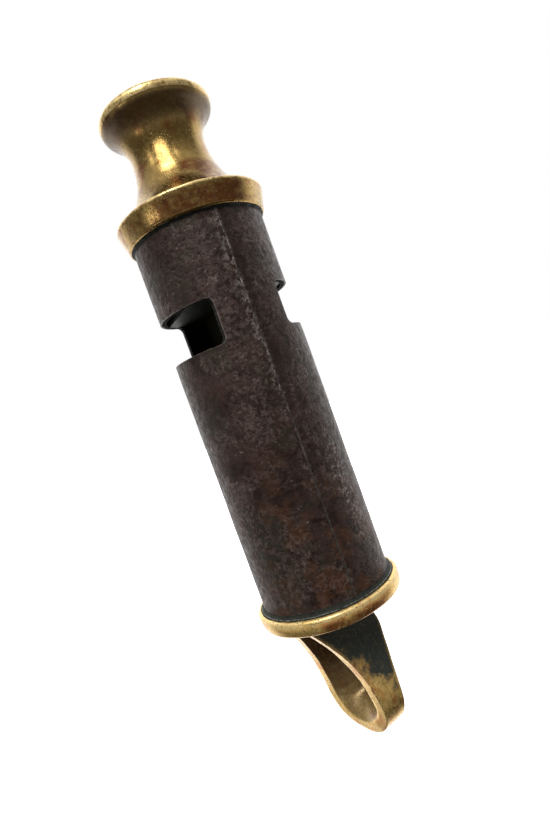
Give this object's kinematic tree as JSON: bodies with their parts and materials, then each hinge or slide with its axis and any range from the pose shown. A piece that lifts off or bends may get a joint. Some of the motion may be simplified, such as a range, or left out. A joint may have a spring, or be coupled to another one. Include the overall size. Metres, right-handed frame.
{
  "type": "tubular whistle",
  "caption": "Two-tone tubular whistle: iron barrel with opposed windows between a flared brass mouthpiece and a brass end cap with a cast loop.",
  "frame": {"origin": "centre of the mouthpiece's end face, on the barrel's axis", "axes": "+Z points out of the mouthpiece along the barrel's axis, the windows face +X and -X, and the barrel's seam faces -Y"},
  "size_m": [0.0198, 0.0198, 0.0857],
  "materials": {
    "polished_brass": "aged brass, worn bright on the rims, brown in the hollows",
    "cast_brass": "cast brass, rubbed at the tip, dark green in the root",
    "inner_brass": "unpolished, tarnished almost black",
    "browned_iron": "browned sheet iron, finely pitted, with worn grey specks and rust",
    "seam_braze": "filed braze, darkened with the iron",
    "solder": "oxidised solder with green-black tarnish"
  },
  "bodies": {
    "root": {"mouthpiece": "polished_brass", "mouthpiece_collar": "polished_brass", "windway_block": "inner_brass", "barrel": "browned_iron", "barrel_seam_braze": "seam_braze", "partition_plate": "inner_brass", "low_tone_stop": "inner_brass", "high_tone_stop": "inner_brass", "end_cap": "polished_brass", "suspension_loop": "cast_brass", "upper_solder_ring": "solder", "lower_solder_ring": "solder"}
  },
  "joints": []
}
